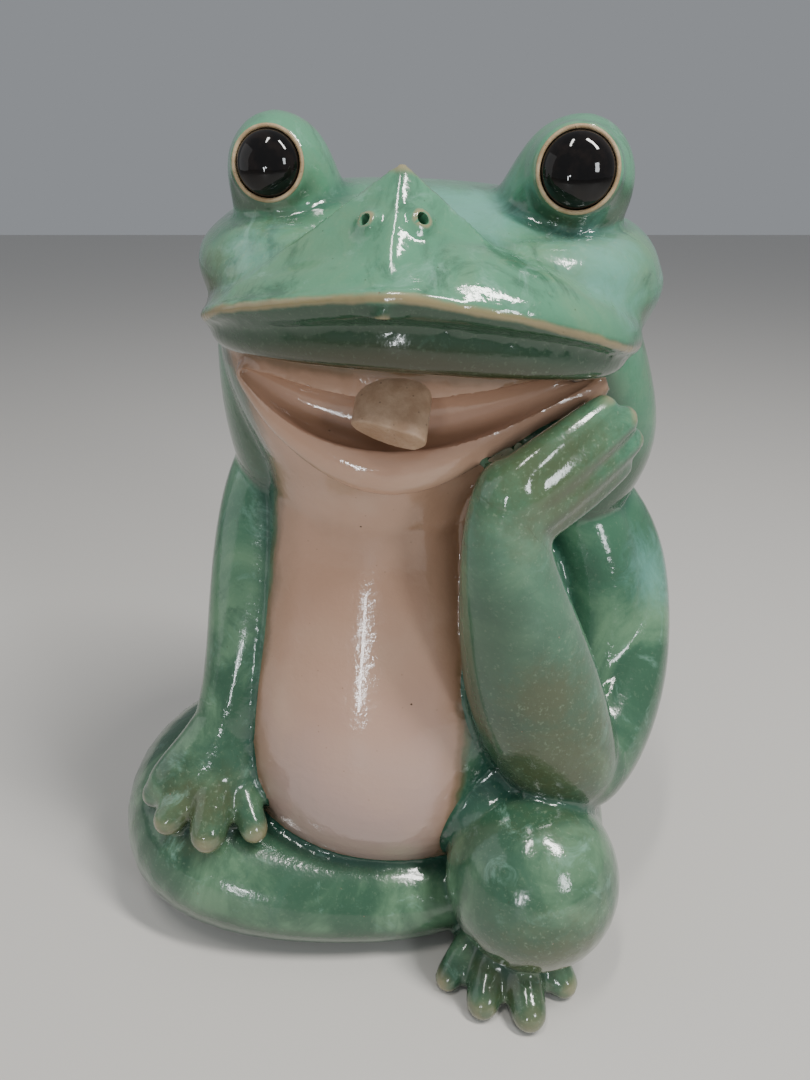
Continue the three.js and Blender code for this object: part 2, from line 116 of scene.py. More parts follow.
def bridged(name, rings):
    """A closed form through rings of (middle, along x, along y, half width, half depth)."""
    bpy.ops.object.select_all(action="DESELECT")
    for step, (middle, x_axis, y_axis, wide, deep) in enumerate(rings):
        turn = Matrix((x_axis, y_axis, x_axis.cross(y_axis))).transposed()
        bpy.ops.mesh.primitive_circle_add(
            vertices=RING_SIDES, radius=1, location=middle, rotation=turn.to_euler())
        if step == 0:
            bpy.ops.object.transform_apply(location=True, rotation=True, scale=True)
            bpy.ops.object.mode_set(mode="EDIT")
            bpy.ops.mesh.select_all(action="SELECT")
        bpy.ops.transform.resize(
            value=(max(wide, 0.05) * MM / ROUNDING, max(deep, 0.05) * MM / ROUNDING, 1), orient_type="GLOBAL",
            orient_matrix=turn, orient_matrix_type="GLOBAL", center_override=middle)
    form = bpy.context.object
    form.name = name

    def pick(*ring_numbers):
        bpy.ops.object.mode_set(mode="OBJECT")
        mesh = form.data
        mesh.polygons.foreach_set("select", np.zeros(len(mesh.polygons), dtype=bool))
        mesh.edges.foreach_set("select", np.zeros(len(mesh.edges), dtype=bool))
        chosen = np.zeros(len(mesh.vertices), dtype=bool)
        for number in ring_numbers:
            chosen[number * RING_SIDES:(number + 1) * RING_SIDES] = True
        mesh.vertices.foreach_set("select", chosen)
        bpy.ops.object.mode_set(mode="EDIT")
        bpy.ops.mesh.select_mode(type="VERT")

    for number in range(len(rings) - 1):
        pick(number, number + 1)
        bpy.ops.mesh.bridge_edge_loops()
    for number in (0, len(rings) - 1):
        pick(number)
        bpy.ops.mesh.edge_face_add()
    bpy.ops.mesh.select_all(action="SELECT")
    bpy.ops.mesh.normals_make_consistent(inside=False)
    bpy.ops.object.mode_set(mode="OBJECT")
    return finish_with(form, "SUBSURF", levels=2, render_levels=2)


def stack(name, levels, where=clay, crown=0.0):
    """Level coils laid one on another: (x, y, height, half width, half depth). The top ends in a dome of
    `crown` times its half depth."""
    x_axis = (where(1, 0, 0) - where(0, 0, 0)).normalized()
    y_axis = (where(0, 1, 0) - where(0, 0, 0)).normalized()
    rings = [(where(x, y, z), x_axis, y_axis, wide, deep) for x, y, z, wide, deep in levels]
    if crown:
        x, y, z, wide, deep = levels[-1]
        for rise, spread in ((0.5, 0.86), (0.85, 0.52), (1.0, 0.2)):
            rings.append((where(x, y, z + rise * crown * deep), x_axis, y_axis, wide * spread, deep * spread))
    return bridged(name, rings)


def roll(name, stations, where=clay, across=(1, 0, 0)):
    """A roll of clay with round ends: (x, y, z, half width along `across`, half depth). `across` is one
    direction, or a function that gives it at each place."""
    middles = [where(*station[:3]) for station in stations]
    sizes = [(station[3], station[-1]) for station in stations]
    rings = []
    last = len(stations) - 1
    for number, middle in enumerate(middles):
        along = (middles[min(number + 1, last)] - middles[max(number - 1, 0)]).normalized()
        side_hint = across(middle) if callable(across) else Vector(across)
        side = (side_hint - along * side_hint.dot(along)).normalized()
        other = along.cross(side)
        wide, deep = sizes[number]
        reach = min(wide, deep) * MM
        ring = (middle, side, other, wide, deep)
        outward = along * reach * (1 if number else -1)
        dome = [(middle + outward * rise, side, other, wide * spread, deep * spread)
                for rise, spread in ((0.5, 0.87), (0.86, 0.52), (1.0, 0.2))]
        if number == 0:
            rings += dome[::-1] + [ring]
        elif number == last:
            rings += [ring] + dome
        else:
            rings.append(ring)
    return bridged(name, rings)


def ball(name, x, y, z, wide, deep, tall):
    """A pat of clay, by its middle and its three half widths."""
    bpy.ops.object.select_all(action="DESELECT")
    bpy.ops.mesh.primitive_uv_sphere_add(
        segments=32, ring_count=20, radius=1, location=clay(x, y, z),
        scale=(wide * MM, deep * MM, tall * MM))
    form = bpy.context.object
    form.name = name
    bpy.ops.object.transform_apply(location=True, rotation=True, scale=True)
    return form


def slab(name, lowest, highest, where=clay):
    """A square-cut block between two corners."""
    bpy.ops.object.select_all(action="DESELECT")
    middle = [(a + b) / 2 for a, b in zip(lowest, highest)]
    turn = Matrix([where(*axis) - where(0, 0, 0) for axis in ((1, 0, 0), (0, 1, 0), (0, 0, 1))])
    turn.transpose()
    turn.normalize()
    bpy.ops.mesh.primitive_cube_add(size=1, location=where(*middle), rotation=turn.to_euler(),
                                    scale=[(b - a) * MM for a, b in zip(lowest, highest)])
    block = bpy.context.object
    block.name = name
    bpy.ops.object.transform_apply(location=True, rotation=True, scale=True)
    return block


def kneaded(name, parts, grain):
    """Several forms pressed into one solid skin, with no join left between them."""
    body = only(*parts)
    bpy.ops.object.join()
    body.name = name
    finish_with(body, "REMESH", mode="VOXEL", voxel_size=grain * MM, use_smooth_shade=True)
    return body


def cut(body, tool, operation="DIFFERENCE", keep=False):
    finish_with(body, "BOOLEAN", operation=operation, object=tool, solver="MANIFOLD")
    if not keep:
        throw_away(tool)
    return body


def sponged(body, strokes):
    """Smooths the surface as a wet sponge does."""
    return finish_with(body, "SMOOTH", factor=0.5, iterations=strokes)


# ---------------------------------------------------------------- torso, jaw and head

BELLY_COILS = [
    (-6, 8, -12, 42, 30), (-6, 7, 8, 46, 34), (-6, 2, 24, 52, 43), (-6, -3, 45, 56, 52), (-6, -4, 66, 56, 54),
    (-6, -3, 90, 53, 49), (-5, 0, 115, 47, 42), (-4, 3, 138, 43, 38), (-3, 4, 160, 41, 38),
    (-2, 2, 178, 44, 42)]
BACK_COILS = [
    (0, 22, -12, 52, 30), (2, 21, 12, 58, 36), (3, 20, 45, 60, 38), (5, 19, 80, 58, 36), (7, 18, 110, 58, 32),
    (9, 18, 135, 60, 30), (9, 16, 158, 59, 30), (11, 14, 178, 62, 31), (8, 10, 200, 58, 32)]


def torso_forms():
    belly = stack("belly", BELLY_COILS)
    back = stack("back", BACK_COILS)
    flank = roll("flank", [(40, -4, 120, 16, 16), (44, -10, 92, 18, 18), (44, -18, 64, 18, 18)])
    web = roll("web", [(26, -32, 156, 8, 9), (30, -36, 130, 12, 10), (32, -36, 100, 14, 10),
                       (26, -30, 72, 14, 14)])
    return [belly, back, flank, web]


def jaw_forms():
    chin = stack("chin", [
        (-3, 3, 140, 41, 37), (-3, 2, 158, 40.5, 39), (-2.5, -1, 168, 43, 42), (-1, -4, 180, 49, 46),
        (1, -5, 192, 54.5, 46), (2, -5, 204, 57, 45), (3, -5, 214, 55, 44)])
    right_jowl = roll("right_jowl", [
        (-36, 16, 138, 12, 18), (-42, 12, 160, 15, 22), (-43, 7, 182, 15.5, 25), (-41, 3, 204, 16, 26)])
    left_jowl = roll("left_jowl", [
        (52, 12, 136, 14, 20), (61, 11, 155, 18, 24), (65, 11, 168, 19, 25), (61, 9, 184, 18, 26),
        (54, 4, 204, 16, 26)])
    nape_roll = roll("nape_roll", [(-44, 26, 200, 13, 15), (-20, 36, 200, 13, 13), (10, 38, 200, 13, 13),
                                   (34, 35, 200, 13, 13), (52, 24, 200, 13, 15)], across=(0, 0, 1))
    lower_lip = roll("lower_lip", [
        (-43, -33, 196.5, 3.2, 3), (-35, -40.5, 187.5, 4.4, 3.6), (-24, -45, 180, 5.6, 4.4),
        (-13, -47.5, 174.5, 6.4, 5),
        (-3, -48.5, 173, 6.4, 5), (7, -48, 175, 6.4, 5), (19, -45.5, 180.8, 5.6, 4.4),
        (32, -41, 186.6, 4.8, 4),
        (52, -35, 192.8, 3.6, 3.2)], across=(0, 0, 1))
    return [chin, right_jowl, left_jowl, nape_roll, lower_lip]


def lip_slope(middle):
    """Out from the head and down, the way the top of the upper lip falls."""
    out = (middle - on_head(0, 0, 0)).normalized()
    return Vector((out.x, out.y, -0.42))


def head_forms():
    cap = stack("cap", [
        (0, 6, -3, 56, 50), (0, 4, 4, 60, 53), (0, 3, 11, 62.5, 53.5), (0, 4, 18, 66, 52),
        (0, 8, 25, 64.5, 48),
        (0, 12, 32, 56, 40), (0, 15, 37, 42, 28)], where=on_head, crown=0.16)
    lip = roll("upper_lip", [
        (-54, -10, 5, 7, 6), (-50.5, -22, 8, 8, 6), (-39, -34.5, 13, 12, 6), (-21, -42, 19, 15, 6.5),
        (-3, -46.5, 22.5, 15, 7), (20, -44.5, 20.5, 15, 7), (37, -36, 15.5, 13, 6.5), (48, -24, 10.5, 10, 6),
        (52, -12, 6, 8, 6)],
        where=on_head, across=lip_slope)
    lip_edge = roll("lip_edge", [
        (-57, -12, 4.2, 2.2), (-56.5, -27, 5.8, 2.2), (-47, -43, 11, 2), (-25, -54.5, 16, 2),
        (-6, -59.7, 19, 2.1),
        (0, -60.2, 19.2, 2.1), (23, -55.5, 16, 2), (42, -45.5, 11, 2), (53, -32, 7, 2.2),
        (56, -14, 4.2, 2.2)],
        where=on_head, across=(0, -1, 0))
    lip_front = roll("lip_front", [
        (-53, -13, 1, 4, 5), (-51, -24, 2, 4.5, 5), (-43.5, -34.5, 4.5, 6, 5.5), (-25, -45, 7, 7.5, 6),
        (-4, -49.5, 8.5, 8, 6), (1, -49.5, 8.5, 8, 6), (23, -46.5, 7.5, 7.5, 6), (39, -37.5, 5, 6, 5.5),
        (48.5, -27, 2.5, 5, 5), (51, -15, 1.5, 4, 5)], where=on_head, across=(0, 0.3, 1))
    right_brow = roll("right_brow", [
        (-50, 14, 19, 15, 14), (-51, -4, 17, 13, 14), (-41, -22, 21, 9, 11), (-24, -28, 24, 6, 8)],
        where=on_head, across=(0, 0, 1))
    left_brow = roll("left_brow", [
        (50, 16, 20, 16, 14), (51.5, -6, 17, 16, 14), (42, -23, 20, 11, 12), (24, -30, 23, 7, 8)],
        where=on_head, across=(0, 0, 1))
    nose = nose_point("nose", (-5.5, -36, 14), (43, 27), 32.5)
    return [cap, lip, lip_edge, lip_front, right_brow, left_brow, nose]


def nose_point(name, foot, reach, rise):
    """The four-sided point of the nose, one edge to the front, with the edges taken off."""
    bpy.ops.object.select_all(action="DESELECT")
    bpy.ops.mesh.primitive_cone_add(
        vertices=4, radius1=1, depth=1, location=on_head(foot[0], foot[1], foot[2] + rise / 2),
        rotation=HEAD_TURN.to_euler(), scale=(reach[0] * MM, reach[1] * MM, rise * MM))
    form = bpy.context.object
    form.name = name
    bpy.ops.object.transform_apply(location=True, rotation=True, scale=True)
    finish_with(form, "BEVEL", width=1.2 * MM, segments=2, limit_method="NONE")
    return form


def right_turret_forms():
    return [
        roll("right_turret", [
            (-29, -7, 226, 19, 20), (-30.5, -12, 236, 15.5, 16), (-32.5, -17, 246, 14.3, 14.3)]),
        eye_collar("right_eye"),
    ]


def left_turret_forms():
    return [
        roll("left_turret", [
            (36, -10, 222, 21, 21), (39.5, -15.5, 233, 17, 17), (43.5, -21.5, 243.5, 16, 16)]),
        eye_collar("left_eye"),
    ]


# ---------------------------------------------------------------- limbs

def right_leg_forms():
    return [
        roll("right_thigh", [(-38, 32, 30, 27), (-64, 18, 31, 28), (-81.5, -8, 30, 28), (-78, -30, 27, 26),
                             (-56, -39, 21, 21, 23), (-28, -40, 17, 18, 22), (-4, -40, 16, 17, 21),
                             (14, -38, 15, 15, 18)],
             across=(0, 0, 1)),
    ]


def left_leg_forms():
    return [
        roll("left_thigh", [(32, 24, 36, 26), (40, 6, 44, 30), (42, -22, 46, 27), (41, -44, 42, 26)]),
        ball("left_knee", 41, -57, 38, 28, 28, 29.5),
        roll("left_inner_thigh", [(22, -16, 66, 14), (24, -32, 62, 15), (30, -46, 48, 18)]),
        roll("left_shin", [(39, -50, 26, 17), (35, -53, 12, 16), (34, -54, 2, 15)]),
    ]


def left_foot_forms():
    toes = [(14.5, -68, 4.8), (25, -77, 5.8), (39, -81, 6), (51.5, -70, 5.4)]
    roots = [(22, -60), (29, -64), (38, -66), (45, -60)]
    parts = [ball("left_sole", 34.5, -60, 5, 19, 17, 10)]
    for (x, y, r), (rx, ry) in zip(toes, roots):
        knuckle = ((x + rx) / 2, (y + ry) / 2, 8, r)
        parts.append(roll("left_toe", [(rx, ry, 10, r + 0.5), knuckle, (x, y, r * 0.8, r)]))
    return parts


def right_arm_forms():
    return [roll("right_arm", [
        (-40, 12, 160, 15, 16), (-45, 7, 146, 17, 15), (-49.5, -2, 124, 16.5, 14), (-52, -13, 104, 15, 12.5),
        (-56.5, -22, 86, 12, 10), (-60, -27, 76, 11.5, 8.5)])]


def right_hand_forms():
    fingers = [(-84, -36, 50, 5.6), (-78, -45, 47, 5.8), (-64, -51, 46, 6.4), (-50, -47, 45, 5)]
    roots = [(-72, -31, 62), (-68, -34, 62), (-63, -36, 62), (-57, -33, 60)]
    parts = [roll("right_palm", [(-60, -26, 78, 10, 8), (-64, -32, 67, 14, 8), (-68, -36, 58, 18, 9),
                                 (-70, -38, 52, 19, 8)])]
    for (x, y, z, r), (rx, ry, rz) in zip(fingers, roots):
        knuckle = ((x + rx) / 2, (y + ry) / 2 - 1, (z + rz) / 2 + 1, r)
        parts.append(roll("right_finger", [(rx, ry, rz, r), knuckle, (x, y, z + r * 0.6, r)]))
    return parts


def left_upper_arm_forms():
    return [
        roll("left_shoulder", [(48, 16, 148, 16, 18), (66, 14, 138, 18, 17), (76, 9, 124, 15, 16),
                               (78.5, 0, 106, 14.5, 15),
                               (76, -14, 88, 15, 15), (66, -29, 74, 16, 16),
                               (58, -38, 68, 16, 15)], across=(1, 1, 0)),
        roll("armpit_web", [(56, 6, 146, 15, 14), (66, -3, 122, 16, 13), (66, -9, 102, 17, 13),
                            (60, -20, 82, 17, 13)]),
    ]


def left_forearm_forms():
    return [
        roll("left_forearm", [(52, -41, 70, 18, 15), (46, -44, 82, 20.5, 15), (39, -47, 102, 21, 14),
                              (33, -50, 124, 18, 13),
                              (28, -54, 146, 13.5, 11.5), (26, -55.5, 162, 11, 10),
                              (28, -55.5, 171, 10.5, 9.5)]),
    ]


def left_hand_forms():
    fingers = [
        [(27, -57.5, 174, 6.5), (38, -54, 183, 5), (51, -46, 190, 4.2)],
        [(31, -58, 170, 6), (44, -53, 179, 5), (57, -44, 186.5, 4.4)],
        [(34, -57, 165, 5.5), (48, -50, 173, 4.8), (60, -41, 180, 4.4)],
        [(34, -55, 160, 5), (47, -49, 166.5, 4.6), (58, -41, 173, 4.2)]]
    return [roll("left_palm", [(27, -54, 166, 9.5, 9), (36, -49, 171, 10, 9.5), (44, -43, 175, 10, 10)])] + [
        roll("left_finger", stations) for stations in fingers]


# ---------------------------------------------------------------- small things stuck on or pressed in

def on_the_face(name):
    """The middle of a node's box and half its size, in metres."""
    lowest, highest = (Vector(corner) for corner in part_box(name))
    return (lowest + highest) / 2, (highest - lowest) / 2


GAZE = HEAD_TURN @ Vector((0, -1, 0.16)).normalized()


def ring(name, middle, facing, radius, thickness, flatten=1.0):
    """A thin coil of clay bent round into a ring, facing one way."""
    bpy.ops.object.select_all(action="DESELECT")
    bpy.ops.mesh.primitive_torus_add(
        major_segments=48, minor_segments=12, major_radius=radius * MM, minor_radius=thickness * MM,
        location=middle, rotation=facing.to_track_quat("Z", "Y").to_euler())
    coil = bpy.context.object
    coil.name = name
    coil.scale = (1, 1, flatten)
    bpy.ops.object.transform_apply(location=True, rotation=True, scale=True)
    return coil


EYE_BULGE = 5.2  # half the thickness of an eye dome
SEAT_ROOM = 0.35  # slack between a dome and the seat pressed for it
COLLAR_LENGTH = 9
COLLAR_LIP = 0.5  # how far a collar reaches past the middle of its dome


def eye_dome(name, eye, grow=0.0):
    """A lens of glaze, set half into its turret."""
    middle, half = on_the_face(eye)
    radius = half.x / MM + grow
    bpy.ops.object.select_all(action="DESELECT")
    bpy.ops.mesh.primitive_uv_sphere_add(
        segments=64, ring_count=32, radius=1, location=middle,
        rotation=GAZE.to_track_quat("Z", "Y").to_euler(),
        scale=(radius * MM, radius * MM, (EYE_BULGE + grow) * MM))
    dome = bpy.context.object
    dome.name = name
    bpy.ops.object.transform_apply(location=True, rotation=True, scale=True)
    return dome


def eye_collar(eye):
    """The raised lip of clay that holds a dome, tapering out of the turret to the middle of the dome."""
    middle, half = on_the_face(eye)
    bpy.ops.object.select_all(action="DESELECT")
    bpy.ops.mesh.primitive_cone_add(
        vertices=64, radius1=half.x + 4.2 * MM, radius2=half.x + 1.8 * MM, depth=COLLAR_LENGTH * MM,
        location=middle - GAZE * (COLLAR_LENGTH / 2 - COLLAR_LIP) * MM,
        rotation=GAZE.to_track_quat("Z", "Y").to_euler())
    collar = bpy.context.object
    collar.name = eye + "_collar"
    bpy.ops.object.transform_apply(location=True, rotation=True, scale=True)
    return collar


NOSTRILS = [((-12.3, -44.5, 33), (-0.55, -0.7, 0.45)), ((0.3, -44.5, 34), (0.5, -0.7, 0.5))]


def nostril(name, place, facing, radius, depth):
    """A hole poked with the end of a stick."""
    out = (HEAD_TURN @ Vector(facing)).normalized()
    bpy.ops.object.select_all(action="DESELECT")
    bpy.ops.mesh.primitive_cone_add(
        vertices=24, radius1=radius * 0.75 * MM, radius2=radius * 1.15 * MM, depth=depth * MM,
        location=on_head(*place), rotation=out.to_track_quat("Z", "Y").to_euler())
    hole = bpy.context.object
    hole.name = name
    bpy.ops.object.transform_apply(location=True, rotation=True, scale=True)
    return hole


TONGUE_DROOP = Vector((-0.12, -0.74, -0.66)).normalized()


def tongue():
    """A stub of clay lolling over the lip, round above, cut off square below with a soft edge."""
    middle, half = on_the_face("tongue")
    middle += Vector((-0.8, -4.5, -1.5)) * MM
    bpy.ops.object.select_all(action="DESELECT")
    bpy.ops.mesh.primitive_cylinder_add(
        vertices=40, radius=1, depth=17 * MM, location=middle,
        rotation=TONGUE_DROOP.to_track_quat("-Z", "Y").to_euler(), scale=(half.x, half.z * 0.78, 1))
    stub = bpy.context.object
    stub.name = "tongue_stub"
    bpy.ops.object.transform_apply(location=True, rotation=True, scale=True)
    bpy.ops.object.mode_set(mode="EDIT")
    bpy.ops.mesh.select_all(action="SELECT")
    bpy.ops.mesh.bisect(
        plane_co=middle + TONGUE_DROOP * 7 * MM, plane_no=(-0.38, -0.62, -0.68), use_fill=True,
        clear_outer=True)
    bpy.ops.object.mode_set(mode="OBJECT")
    finish_with(stub, "REMESH", mode="VOXEL", voxel_size=0.35 * MM, use_smooth_shade=True)
    return sponged(stub, 10)


# ---------------------------------------------------------------- one wet form

# In the order in which they take their share of the clay.
shares = {
    "left_hand": left_hand_forms(),
    "right_hand": right_hand_forms(),
    "left_foot": left_foot_forms(),
    "left_forearm": left_forearm_forms(),
    "left_upper_arm": left_upper_arm_forms(),
    "right_arm": right_arm_forms(),
    "right_eye_turret": right_turret_forms(),
    "left_eye_turret": left_turret_forms(),
    "left_leg": left_leg_forms(),
    "right_leg": right_leg_forms(),
}
core = torso_forms() + jaw_forms() + head_forms()
for place, facing in NOSTRILS:
    core.append(ring("nostril_rim", on_head(*place), HEAD_TURN @ Vector(facing), 2.1, 0.9))

every_form = core + [form for forms in shares.values() for form in forms]
GRAIN = 1.25  # fineness of the clay, which sets how small a detail it holds
frog = kneaded("frog", [copy_of(form, "wet_clay") for form in every_form], GRAIN)

# The mouth is scooped out between the lips, and the frog stands on a flat foot.
cut(frog, roll("mouth_groove", [
    (-43, -37, 197.5, 1.8, 2.5), (-34, -43, 193.5, 4.2, 5), (-22, -47, 188.5, 6.5, 7),
    (-5, -50, 186, 7.5, 7.5),
    (14, -49, 188, 6.5, 7), (30, -44.5, 191.5, 4.8, 5), (49, -38, 196.5, 1.8, 2.5)], across=(0, 0, 1)))
sponged(frog, 5)
cut(frog, slab("under_floor", (-200, -200, -60), (200, 200, 0)))
for place, facing in NOSTRILS:
    cut(frog, nostril("nostril", place, facing, 1.5, 9))
for eye in ("right_eye", "left_eye"):
    cut(frog, eye_dome("eye_seat", eye, SEAT_ROOM))

# ---------------------------------------------------------------- where the glaze runs thin and thick, and where shade is painted


def surface_marks(body):
    """Each place, and how proud of its surroundings it stands, fine and broad, and how far it faces up."""
    mesh = body.data
    count = len(mesh.vertices)
    places = np.empty(count * 3)
    facing = np.empty(count * 3)
    ends = np.empty(len(mesh.edges) * 2, dtype=np.int64)
    mesh.vertices.foreach_get("co", places)
    mesh.vertices.foreach_get("normal", facing)
    mesh.edges.foreach_get("vertices", ends)
    places = places.reshape(-1, 3) / MM
    facing = facing.reshape(-1, 3)
    first, second = ends.reshape(-1, 2).T
    links = np.maximum(np.bincount(first, minlength=count) + np.bincount(second, minlength=count), 1)

    def blurred(values, strokes):
        for _ in range(strokes):
            around = [np.bincount(first, row[second], count) + np.bincount(second, row[first], count)
                      for row in values.T]
            values = (values + np.stack(around, 1) / links[:, None]) / 2
        return values

    near = blurred(places, 10)
    wide = blurred(near, 90)
    edge = ((places - near) * facing).sum(1, keepdims=True)
    swell = ((near - wide) * facing).sum(1, keepdims=True)
    soft = blurred(np.hstack([edge, swell, facing[:, 2:]]), 4)
    return places, soft


NO_BIB, NO_LIP = -20.0, -9.0  # what a place outside either is marked with

# How far the pink glaze reaches to either side, at heights going up the belly and throat.
BIB_HEIGHTS = [20, 23, 33, 48, 81, 98, 127, 152, 169, 182, 190, 196, 204]
BIB_RIGHT = [-12, -28, -43, -51, -51, -48, -42, -39.5, -39.5, -42, -44, -47, -50]
BIB_LEFT = [4, 12, 14, 14, 18, 18.5, 18.5, 19, 22, 41, 52, 60, 64]


def inside_bib(places):
    """How far inside the edge of the pink glaze each place is, in millimetres."""
    x, y, z = (places - np.array(SEAT) / MM).T
    side = np.minimum(x - np.interp(z, BIB_HEIGHTS, BIB_RIGHT), np.interp(z, BIB_HEIGHTS, BIB_LEFT) - x)
    level = (places - np.array(on_head(0, 0, 0)) / MM) @ np.array(HEAD_TURN)
    return np.minimum.reduce([side, z - 20, -2.2 - level[:, 2], -12 - y])


# Spots where iron in the clay has browned the glaze, and where it has run together milky blue, each as
# x, y, z and spread.
BROWNED = [
    (36, -56, 176, 30), (46, -60, 86, 30), (46, -80, 26, 30), (-68, -44, 54, 22), (-31, -28, 228, 15),
    (41, -32, 226, 17),
    (-52, -30, 214, 18), (40, -62, 110, 20), (-84, -20, 24, 26), (34, -70, 8, 20)]
MILKY = [(46, -40, 222, 22), (14, -30, 236, 26), (-34, -34, 222, 18), (60, -22, 214, 18), (80, 0, 120, 24)]


def spotted(places, spots):
    """1 in the middle of each spot, fading to 0 at its edge."""
    from_seat = places - np.array(SEAT) / MM
    return np.max([1 - np.linalg.norm(from_seat - spot[:3], axis=1) / spot[3] for spot in spots], axis=0)


# The height of the upper lip's edge, from one corner of the mouth to the other.
LIP_EDGE_OUT = [-57, -47, -25, -6, 0, 23, 42, 56]
LIP_EDGE_RISE = [5, 11, 16, 19, 19.2, 16, 11, 5]


def below_lip_edge(places):
    """How far below the edge of the upper lip each place is, in millimetres. The edge turns down behind
    the corners of the mouth."""
    x, y, z = ((places - np.array(on_head(0, 0, 0)) / MM) @ np.array(HEAD_TURN)).T
    turning_in = np.interp(y, [-18, -4], [0, 20])
    drop = np.interp(x, LIP_EDGE_OUT, LIP_EDGE_RISE) - z - turning_in
    return np.where(z > NO_LIP, drop, NO_LIP)


marks_at, marks = surface_marks(frog)
finder = KDTree(len(marks_at))
for number, spot in enumerate(marks_at):
    finder.insert(spot, number)
finder.balance()


def mark(piece, has_bib, has_lip):
    """Writes on a piece what the glaze and the painted shade follow."""
    mesh = piece.data
    nearest = [finder.find(vertex.co / MM)[1] for vertex in mesh.vertices]
    edge, swell, up = marks[nearest].T
    places = np.empty(len(mesh.vertices) * 3)
    mesh.vertices.foreach_get("co", places)
    places = places.reshape(-1, 3) / MM
    bib = inside_bib(places) if has_bib else np.full(len(nearest), NO_BIB)
    lip_shade = below_lip_edge(places) if has_lip else np.full(len(nearest), NO_LIP)
    for name, values in (("edge", edge), ("swell", swell), ("up", up), ("bib", bib), ("lip_shade", lip_shade),
                         ("browned", spotted(places, BROWNED)), ("milky", spotted(places, MILKY))):
        layer = mesh.attributes.new(name, "FLOAT", "POINT")
        layer.data.foreach_set("value", values.astype(np.float32))
    return piece


# ---------------------------------------------------------------- sharing the clay out

WALL = 6  # of the hollow torso
HOLLOW_GRAIN = 3
SHARE_GRAIN = 2
SHARE_SPREAD = 2.4  # a share takes this much more clay than the form it is measured by
MOULD_SPLIT = -14  # the plane between the belly and back halves
LIP_SEAM = -3.5  # the plane under the upper lip, on the head


def inside(coils):
    """The same coils, smaller by the thickness of the wall."""
    return [(x, y, z, wide - WALL, deep - WALL) for x, y, z, wide, deep in coils]


cut(frog, kneaded("hollow", [
    stack("belly_hollow", inside(BELLY_COILS[:-1])),
    stack("back_hollow", inside(BACK_COILS[:-2]))], HOLLOW_GRAIN))

pieces = {}
for name, forms in shares.items():
    tool = kneaded("share", [copy_of(form, "share_form") for form in forms], SHARE_GRAIN)
    finish_with(tool, "DISPLACE", strength=SHARE_SPREAD * MM, mid_level=0)
    pieces[name] = cut(copy_of(frog, name), tool, "INTERSECT", keep=True)
    cut(frog, tool)

in_front = slab("in_front", (-200, -200, -50), (200, MOULD_SPLIT, 400))
above_neck = slab("above_neck", (-200, -200, NECK), (200, 200, 400))
above_lip = slab("above_lip", (-200, -200, LIP_SEAM), (200, 200, 200), where=on_head)
pieces["head"] = cut(copy_of(frog, "head"), above_lip, "INTERSECT", keep=True)
cut(frog, above_lip)
jaw_ring = cut(copy_of(frog, "jaw_ring"), above_neck, "INTERSECT", keep=True)
cut(frog, above_neck)
pieces["lower_jaw"] = cut(copy_of(jaw_ring, "lower_jaw"), in_front, "INTERSECT", keep=True)
pieces["nape"] = cut(jaw_ring, in_front, keep=True)
pieces["torso_front"] = cut(copy_of(frog, "torso_front"), in_front, "INTERSECT", keep=True)
pieces["torso_back"] = cut(frog, in_front)
throw_away(*every_form)

# ---------------------------------------------------------------- glazes


def node(tree, kind, settings=None, **values):
    """Adds a node; a value that is a socket is joined up, any other is set."""
    made = tree.nodes.new(kind)
    for name, value in (settings or {}).items():
        setattr(made, name, value)
    for name, value in values.items():
        feed(tree, made.inputs[name.replace("_", " ")], value)
    return made


def feed(tree, socket, value):
    if isinstance(value, bpy.types.NodeSocket):
        tree.links.new(value, socket)
    else:
        socket.default_value = value


def sums(tree, operation, *values):
    made = node(tree, "ShaderNodeMath", {"operation": operation})
    for socket, value in zip(made.inputs, values):
        feed(tree, socket, value)
    return made.outputs[0]


def ranged(tree, value, low, high, to_low=0.0, to_high=1.0):
    made = node(tree, "ShaderNodeMapRange", {"interpolation_type": "SMOOTHSTEP"}, Value=value)
    for name, number in (("From Min", low), ("From Max", high), ("To Min", to_low), ("To Max", to_high)):
        made.inputs[name].default_value = number
    return made.outputs["Result"]


def blended(tree, mask, under, over):
    made = node(tree, "ShaderNodeMix", {"data_type": "RGBA", "blend_type": "MIX"})
    feed(tree, made.inputs[0], mask)
    feed(tree, made.inputs[6], under)
    feed(tree, made.inputs[7], over)
    return made.outputs[2]


def speckles(tree, places, size, amount, spot):
    """Round dots `spot` across and `size` apart, where `amount` of them are kept; both in millimetres."""
    cells = node(tree, "ShaderNodeTexVoronoi", Vector=places, Scale=1 / (size * MM))
    dots = ranged(tree, cells.outputs["Distance"], 0.5 * spot / size, 0.3 * spot / size)
    shade = node(tree, "ShaderNodeSeparateColor", Color=cells.outputs["Color"]).outputs[0]
    return sums(tree, "MULTIPLY", dots, ranged(tree, shade, amount, amount - 0.05))


def cloud(tree, places, size, detail=3.0, rough=0.55, turn=0.0):
    noise = node(tree, "ShaderNodeTexNoise", Vector=places, Scale=1 / (size * MM), Detail=detail,
                 Roughness=rough, Distortion=turn)
    return noise.outputs["Fac"]


def new_group(name, inputs, outputs):
    group = bpy.data.node_groups.new(name, "ShaderNodeTree")
    for label, kind in inputs.items():
        group.interface.new_socket(name=label, in_out="INPUT", socket_type=kind)
    for label, kind in outputs.items():
        group.interface.new_socket(name=label, in_out="OUTPUT", socket_type=kind)
    start = group.nodes.new("NodeGroupInput")
    end = group.nodes.new("NodeGroupOutput")
    return group, start.outputs, end.inputs


def finish_group(group, ends, **values):
    for name, value in values.items():
        group.links.new(value, ends[name.replace("_", " ")])
    return group


def reading(tree, name):
    """A value that mark() wrote on the piece."""
    written = node(tree, "ShaderNodeAttribute", {"attribute_name": name, "attribute_type": "GEOMETRY"})
    return written.outputs["Fac"]


